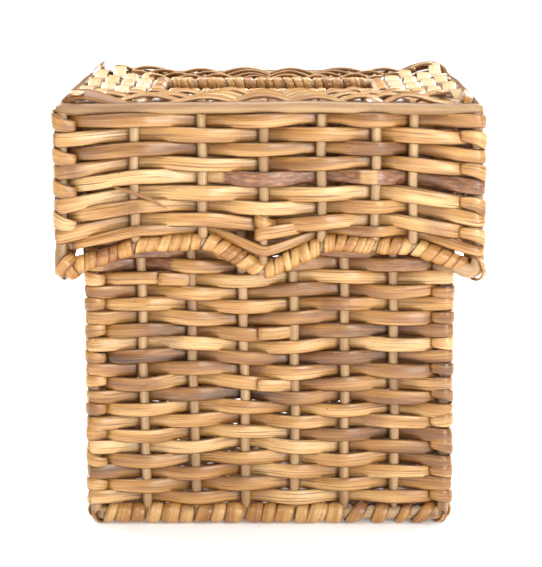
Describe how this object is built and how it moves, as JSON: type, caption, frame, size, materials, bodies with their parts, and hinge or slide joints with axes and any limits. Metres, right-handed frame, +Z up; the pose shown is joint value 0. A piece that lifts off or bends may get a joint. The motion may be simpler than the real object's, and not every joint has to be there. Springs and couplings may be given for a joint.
{
  "type": "woven rattan box with lift-off lid",
  "caption": "Square woven rattan box with a deep scalloped lift-off lid that has a cane-bound slot in its top.",
  "frame": {"origin": "centre of the basket's footprint, on the ground", "axes": "+Z up, front at -Y, the slot's long side along X"},
  "size_m": [0.165, 0.165, 0.1711],
  "materials": {
    "frame_rod": "smooth peeled rattan rod, semi-matte",
    "stake_core": "round rattan core, semi-matte",
    "woven_strand": "flat-oval rattan strand, thin clear lacquer, long grain",
    "cane_binding": "split cane wound round the rods, thin clear lacquer"
  },
  "bodies": {
    "basket": {"base_binding": "cane_binding", "base_rod_back": "frame_rod", "base_rod_front": "frame_rod", "base_rod_left": "frame_rod", "base_rod_right": "frame_rod", "corner_post_back_left": "stake_core", "corner_post_back_right": "stake_core", "corner_post_front_left": "stake_core", "corner_post_front_right": "stake_core", "floor_stakes": "stake_core", "floor_strands": "woven_strand", "rim_binding": "cane_binding", "rim_rod_back": "frame_rod", "rim_rod_front": "frame_rod", "rim_rod_left": "frame_rod", "rim_rod_right": "frame_rod", "wall_courses_01": "woven_strand", "wall_courses_02": "woven_strand", "wall_courses_03": "woven_strand", "wall_courses_04": "woven_strand", "wall_courses_05": "woven_strand", "wall_courses_06": "woven_strand", "wall_courses_07": "woven_strand", "wall_courses_08": "woven_strand", "wall_courses_09": "woven_strand", "wall_courses_10": "woven_strand", "wall_stakes_back": "stake_core", "wall_stakes_front": "stake_core", "wall_stakes_left": "stake_core", "wall_stakes_right": "stake_core"},
    "lid": {"lid_corner_post_back_left": "stake_core", "lid_corner_post_back_right": "stake_core", "lid_corner_post_front_left": "stake_core", "lid_corner_post_front_right": "stake_core", "lid_courses_1": "woven_strand", "lid_courses_2": "woven_strand", "lid_courses_3": "woven_strand", "lid_courses_4": "woven_strand", "lid_rim_rod_back": "frame_rod", "lid_rim_rod_front": "frame_rod", "lid_rim_rod_left": "frame_rod", "lid_rim_rod_right": "frame_rod", "lid_stakes_back": "stake_core", "lid_stakes_front": "stake_core", "lid_stakes_left": "stake_core", "lid_stakes_right": "stake_core", "skirt_binding": "cane_binding", "skirt_rod_back": "frame_rod", "skirt_rod_front": "frame_rod", "skirt_rod_left": "frame_rod", "skirt_rod_right": "frame_rod", "slot_binding": "cane_binding", "slot_rod_back": "frame_rod", "slot_rod_front": "frame_rod", "slot_rod_left": "frame_rod", "slot_rod_right": "frame_rod", "top_rings_1": "woven_strand", "top_rings_2": "woven_strand", "top_rings_3": "woven_strand", "top_stakes": "stake_core"}
  },
  "joints": [
    {"name": "lid_lift", "type": "slide", "parent": "basket", "child": "lid", "axis": [0, 0, 1], "range_m": [0, 0.1]}
  ]
}
